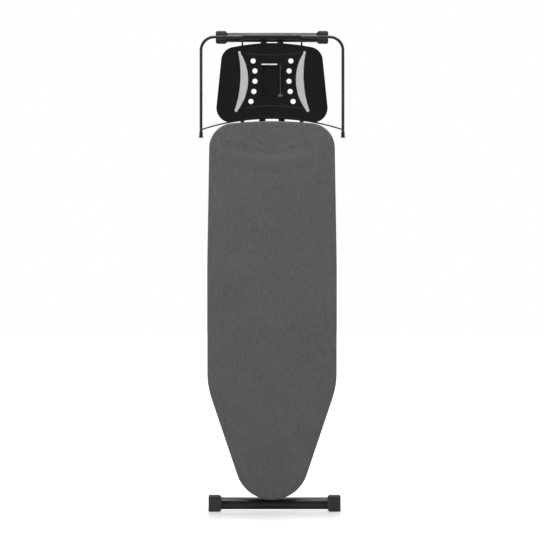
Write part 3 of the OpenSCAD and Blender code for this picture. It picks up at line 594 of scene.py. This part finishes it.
def pleats(outline, inset):
    """Rise of the gathers round the outline: where the edge bends, the cloth has more length than room."""
    spare = np.clip(outline.bend * 45 * MM, 0, 1)
    warp = np.array([noise.noise(Vector((t * 16, 3.0, 1.0))) for t in outline.travel])
    size = np.array([noise.noise(Vector((t * 30, 9.0, 4.0))) for t in outline.travel])
    wave = np.sin(2 * math.pi * (outline.travel / PLEAT_LENGTH + 1.1 * warp))
    share = np.clip((inset - BACK_EDGE_RADIUS) / (HEM_WIDTH - BACK_EDGE_RADIUS), 0, 1) ** 0.8
    return PLEAT_RISE * np.sqrt(spare) * share * np.clip(0.45 + 0.4 * wave + 0.5 * size, 0, 1)


def face_forwards(cover):
    """Turns the open cloth so that its outer side looks away from the pad."""
    front = min(cover.data.polygons, key=lambda face: face.center.y + abs(face.center.x))
    if front.normal.y > 0:
        cover.data.flip_normals()


def pull_taut(cover):
    """Settles the cloth over the pad while the cord holds its hem, and keeps the result."""
    held = cover.vertex_groups.new(name="held_by_cord")
    for vertex in cover.data.vertices:
        past_edge = (vertex.co.y - FRONT) / FRONT_EDGE_RADIUS
        held.add([vertex.index], min(1.0, max(0.0, past_edge)), "REPLACE")
    rest = np.array([v.co for v in cover.data.vertices])
    cloth = cover.modifiers.new("Cloth", "CLOTH")
    cloth.settings.quality = 6
    cloth.settings.mass = 0.2
    cloth.settings.tension_stiffness = 25
    cloth.settings.compression_stiffness = 25
    cloth.settings.shear_stiffness = 12
    cloth.settings.bending_stiffness = 2.0
    cloth.settings.air_damping = 4
    cloth.settings.vertex_group_mass = held.name
    cloth.settings.use_pressure = True
    cloth.settings.uniform_pressure_force = FILLING_PRESSURE
    cloth.settings.effector_weights.gravity = 0.02
    cloth.collision_settings.use_collision = False
    cloth.point_cache.frame_start, cloth.point_cache.frame_end = 1, TENSION_FRAMES
    scene = bpy.context.scene
    for moment in range(1, TENSION_FRAMES + 1):
        scene.frame_set(moment)
    apply_modifiers(cover)
    scene.frame_set(1)
    settled = np.array([v.co for v in cover.data.vertices])
    settled[:, 1] = np.minimum(settled[:, 1], rest[:, 1])
    cover.data.vertices.foreach_set("co", settled.ravel())


def make_cover():
    """The fitted cover as one open sheet, with its flat length, width and area."""
    outline = Outline("cover", CLOTH_STEP)
    count = len(outline.points)
    widest = outline.points[:, 0].max() - FRONT_EDGE_RADIUS
    inner_rings = round(widest / CLOTH_STEP)
    points = []
    for k in range(inner_rings):
        points += [(x, FRONT, z) for x, z in outline.ring(FRONT_EDGE_RADIUS, k / inner_rings)]
    section = cover_section()
    for inset, depth, _ in section:
        gather = pleats(outline, inset) if inset > BACK_EDGE_RADIUS else np.zeros(count)
        for (x, z), rise in zip(outline.ring(inset), gather):
            points.append((x, FRONT + depth + rise, z))
    faces = rings_to_faces(count, inner_rings + len(section))
    cloth = FINISHES["cover_fabric"]
    cover = new_piece("fabric_cover", points, faces, cloth, "deck", ["cover"])
    clean_mesh(cover)
    face_forwards(cover)
    pull_taut(cover)
    flat_area = outline.area(section[-1][2] - FRONT_EDGE_RADIUS)
    flat_size = (
        2 * (widest + section[-1][2]),
        COVER_HIGH.z - COVER_LOW.z + 2 * (section[-1][2] - FRONT_EDGE_RADIUS),
    )
    return cover, flat_size, flat_area


cover, cover_flat, cover_area = make_cover()
add_modifier(cover, "SOLIDIFY", thickness=CLOTH_THICKNESS, offset=-1.0)
apply_modifiers(cover)
add_modifier(cover, "SUBSURF", levels=1, render_levels=1)
apply_modifiers(cover)
cover.data.polygons.foreach_set("use_smooth", [True] * len(cover.data.polygons))


# ---------------------------------------------------------------------------
# Pad
# ---------------------------------------------------------------------------


def make_pad():
    """Felt pad cut to the board, with soft round edges."""
    outline = Outline("pad", CLOTH_STEP)
    front = PAD_LOW.y + PAD_SETBACK
    back = PAD_HIGH.y - PAD_CLEARANCE
    edge = (back - front) / 2
    half = outline.points[:, 0].max()
    inner_rings = round(half / CLOTH_STEP)
    middle = (front + back) / 2
    section = []
    for k in range(7):
        angle = math.pi * k / 6
        section.append((PAD_INSET + edge - edge * math.sin(angle), middle - edge * math.cos(angle)))
    points = []
    for k in range(1, inner_rings):
        points += [(x, front, z) for x, z in outline.ring(PAD_INSET + edge, k / inner_rings)]
    for side, depth in section:
        points += [(x, depth, z) for x, z in outline.ring(side)]
    for k in range(inner_rings - 1, 0, -1):
        points += [(x, back, z) for x, z in outline.ring(PAD_INSET + edge, k / inner_rings)]
    rings = 2 * (inner_rings - 1) + len(section)
    count = len(outline.points)
    faces = rings_to_faces(count, rings)
    points += [(x, front, z) for x, z in outline.ring(0, 0)]
    points += [(x, back, z) for x, z in outline.ring(0, 0)]
    for i in range(count):
        j = (i + 1) % count
        faces.append((rings * count + i, rings * count + j, j, i))
        end = (rings - 1) * count
        faces.append((end + i, end + j, (rings + 1) * count + j, (rings + 1) * count + i))
    pad = new_piece("felt_pad", points, faces, FINISHES["foam"], "deck", ["pad"])
    clean_mesh(pad)


make_pad()

# ---------------------------------------------------------------------------
# Expanded steel mesh
# ---------------------------------------------------------------------------


def make_steel_mesh():
    """A lattice of diamonds, welded inside the rim, with each strand as thick as it is wide."""
    outline = Outline("deck_mesh", CLOTH_STEP)
    edge = outline.ring(MESH_INSET)
    heights = edge[:, 1]

    def half_width(z):
        if z <= heights.min() or z >= heights.max():
            return 0.0
        right = edge[:, 0] > 0
        order = np.argsort(heights[right])
        return float(np.interp(z, heights[right][order], edge[right][order, 0]))

    corners, faces = {}, []

    def corner(x, z):
        return corners.setdefault((round(x / MM, 3), round(z / MM, 3)), len(corners))

    rows = int((heights.max() - heights.min()) / (DIAMOND_HEIGHT / 2))
    columns = int(outline.points[:, 0].max() / DIAMOND_LENGTH) + 1
    for row in range(rows):
        z = heights.min() + row * DIAMOND_HEIGHT / 2
        shift = DIAMOND_LENGTH / 2 if row % 2 else 0.0
        for column in range(-columns, columns + 1):
            x = column * DIAMOND_LENGTH + shift
            reach = abs(x) + DIAMOND_LENGTH / 2
            inside = reach < half_width(z) and abs(x) < min(
                half_width(z - DIAMOND_HEIGHT / 2), half_width(z + DIAMOND_HEIGHT / 2)
            )
            if inside:
                faces.append(
                    (
                        corner(x + DIAMOND_LENGTH / 2, z),
                        corner(x, z + DIAMOND_HEIGHT / 2),
                        corner(x - DIAMOND_LENGTH / 2, z),
                        corner(x, z - DIAMOND_HEIGHT / 2),
                    )
                )
    depth = (MESH_LOW.y + MESH_HIGH.y) / 2 + MESH_SETBACK
    points = [(x * MM, depth, z * MM) for x, z in corners]
    paint = FINISHES["mesh_steel"]
    mesh = new_piece("expanded_mesh", points, faces, paint, "deck", ["deck_mesh"], smooth=False)
    add_modifier(mesh, "WIREFRAME", thickness=STRAND_WIDTH, use_even_offset=False, use_boundary=True)
    apply_modifiers(mesh)


make_steel_mesh()

# ---------------------------------------------------------------------------
# Foot caps
# ---------------------------------------------------------------------------


def ribbed_cap(node, bar_node):
    """A foot cap with wavy ribs moulded round it, made from the cap's own solid."""
    source = frame["nodes"][node]
    low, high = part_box(node)
    bar_low, bar_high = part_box(bar_node)
    bar_y, bar_z = (bar_low.y + bar_high.y) / 2, (bar_low.z + bar_high.z) / 2
    bar_radius = (bar_high.z - bar_low.z) / 2
    points = [v.co.copy() for v in source.data.vertices]
    faces = [tuple(p.vertices) for p in source.data.polygons]
    body = source["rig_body"]
    cap = new_piece(f"ribbed_{node}", points, faces, FINISHES["foot_plastic"], body, [node])
    clean_mesh(cap, merge=0.01 * MM)
    add_modifier(cap, "REMESH", mode="VOXEL", voxel_size=CAP_VOXEL, use_smooth_shade=True)
    apply_modifiers(cap)
    inner_x, outer_x = sorted((low.x, high.x), key=abs)
    reach = abs(outer_x - inner_x)
    for vertex, normal in zip(cap.data.vertices, [n.vector.copy() for n in cap.data.vertex_normals]):
        x, y, z = vertex.co
        if math.hypot(y - bar_y, z - bar_z) < bar_radius + BAR_CLEARANCE:
            continue
        along = abs(x - inner_x) / reach
        fade = min(1.0, max(0.0, (along - 0.16) / 0.1), max(0.0, (0.9 - along) / 0.08))
        wave = RIB_SWING * math.sin(2 * math.pi * (x - inner_x) / RIB_WAVE)
        round_front = math.sin(math.pi * (z + wave) / RIB_PITCH)
        round_sole = math.sin(math.pi * (y + wave) / RIB_PITCH)
        groove = abs(normal.y) * (1 - abs(round_front)) ** 1.6 + abs(normal.z) * (1 - abs(round_sole)) ** 1.6
        vertex.co = vertex.co - normal * RIB_DEPTH * groove * fade


for end in ("left", "right"):
    ribbed_cap(f"inner_foot_cap_{end}", "inner_foot_bar")
    ribbed_cap(f"outer_foot_cap_{end}", "outer_foot_bar")

# ---------------------------------------------------------------------------
# Floor, light and camera
# ---------------------------------------------------------------------------


def studio_floor():
    """A lit white table top that mirrors the feet faintly, with a painted grey reflection and shade of the
    feet where its glow is dimmed beneath and in front of them.
    """
    half = TABLE_HALF_WIDTH
    points = [(-half, -half, 0), (half, -half, 0), (half, half, 0), (-half, half, 0)]
    mesh = bpy.data.meshes.new("studio_floor")
    mesh.from_pydata(points, [], [(0, 1, 2, 3)])
    floor = bpy.data.objects.new("studio_floor", mesh)
    bpy.context.scene.collection.objects.link(floor)
    finish = Finish("lit_white_table", Specular_IOR_Level=0.5, Emission_Strength=TABLE_GLOW)
    haze = finish.noise(3.0, 3.0, 0.5)
    colour = tint(finish.tree, haze, (0.50, 0.50, 0.50), (0.53, 0.53, 0.53))
    place = add(finish.tree, "ShaderNodeSeparateXYZ", {0: finish.place})
    depth = place.outputs["Y"]
    aside = maths(finish.tree, "ABSOLUTE", place.outputs["X"])
    # painted reflection and shade: a mask of the floor beneath and in front of the feet, where the glow is
    # dimmed to grey
    before = between(finish.tree, depth, -1.0, -0.08)
    painted_reflection_mask = maths(finish.tree, "MULTIPLY", before, between(finish.tree, depth, 0.3, 0.03))
    painted_reflection_mask = maths(finish.tree, "MULTIPLY", painted_reflection_mask, between(finish.tree, aside, 0.36, 0.2))
    seen = finish.tree.nodes.new("ShaderNodeLightPath").outputs["Is Camera Ray"]
    glow = between(finish.tree, painted_reflection_mask, 0.0, 1.0, 1.0, SHADED_GLOW)
    glow = tint(finish.tree, maths(finish.tree, "MULTIPLY", glow, seen), (0.0, 0.0, 0.0), (1.0, 1.0, 1.0))
    roughness = between(finish.tree, haze, 0.3, 0.7, 0.16, 0.2)
    mesh.materials.append(finish.feed(Base_Color=colour, Emission_Color=glow, Roughness=roughness))


def studio_world():
    """White to the eye; as a light it is a dim room with a bright sweep behind the object."""
    world = bpy.data.worlds.new("studio")
    bpy.context.scene.world = world
    world.use_nodes = True
    tree = world.node_tree
    tree.nodes.clear()
    way = add(tree, "ShaderNodeSeparateXYZ", {0: tree.nodes.new("ShaderNodeTexCoord").outputs["Generated"]})
    level = between(tree, maths(tree, "ABSOLUTE", way.outputs["Z"]), 0.3, 0.1)
    behind = between(tree, way.outputs["Y"], 0.3, 0.9)
    sweep = maths(tree, "MULTIPLY", level, behind)
    strength = between(tree, sweep, 0.0, 1.0, ROOM_LIGHT, SWEEP_LIGHT)
    seen = add(tree, "ShaderNodeBackground", {"Color": (1, 1, 1, 1), "Strength": 1.0})
    fill = add(tree, "ShaderNodeBackground", {"Color": (1, 1, 1, 1), "Strength": strength})
    path = tree.nodes.new("ShaderNodeLightPath")
    shares = {0: path.outputs["Is Camera Ray"], 1: fill.outputs[0], 2: seen.outputs[0]}
    mix = add(tree, "ShaderNodeMixShader", shares)
    result = tree.nodes.new("ShaderNodeOutputWorld")
    tree.links.new(mix.outputs[0], result.inputs["Surface"])


def soft_box(name, place, target, size, power):
    """A rectangular lamp at place that faces target."""
    light = bpy.data.lights.new(name, "AREA")
    light.shape = "RECTANGLE"
    light.size, light.size_y = size
    light.energy = power
    lamp = bpy.data.objects.new(name, light)
    bpy.context.scene.collection.objects.link(lamp)
    lamp.location = place
    lamp.rotation_euler = (Vector(target) - Vector(place)).to_track_quat("-Z", "Y").to_euler()


def studio_camera():
    """A long lens level with the middle of the board, straight in front of it."""
    data = bpy.data.cameras.new("camera")
    data.sensor_width = 36.0
    data.lens = data.sensor_width * CAMERA_DISTANCE / FRAME_WIDTH
    data.clip_end = 200.0
    camera = bpy.data.objects.new("camera", data)
    bpy.context.scene.collection.objects.link(camera)
    camera.location = (0.0, FRONT - CAMERA_DISTANCE, CAMERA_HEIGHT)
    camera.rotation_euler = (math.pi / 2, 0, 0)
    bpy.context.scene.camera = camera


studio_floor()
studio_world()
soft_box("top_box", (0, -0.4, 4.6), (0, 0, 0), (4.0, 3.0), 150.0)
soft_box("front_box", (0, -3.6, 5.6), (0, 0, 0.8), (4.0, 1.6), 110.0)
soft_box("left_strip", (-2.8, -1.4, 1.2), (0, 0, 0.9), (0.8, 3.0), 46.0)
soft_box("right_strip", (2.8, -1.4, 1.2), (0, 0, 0.9), (0.8, 3.0), 38.0)
soft_box("back_box", (1.0, 4.4, 4.0), (0, 0, 0.8), (3.5, 2.0), 120.0)
studio_camera()
bpy.context.scene.view_settings.view_transform = "Standard"
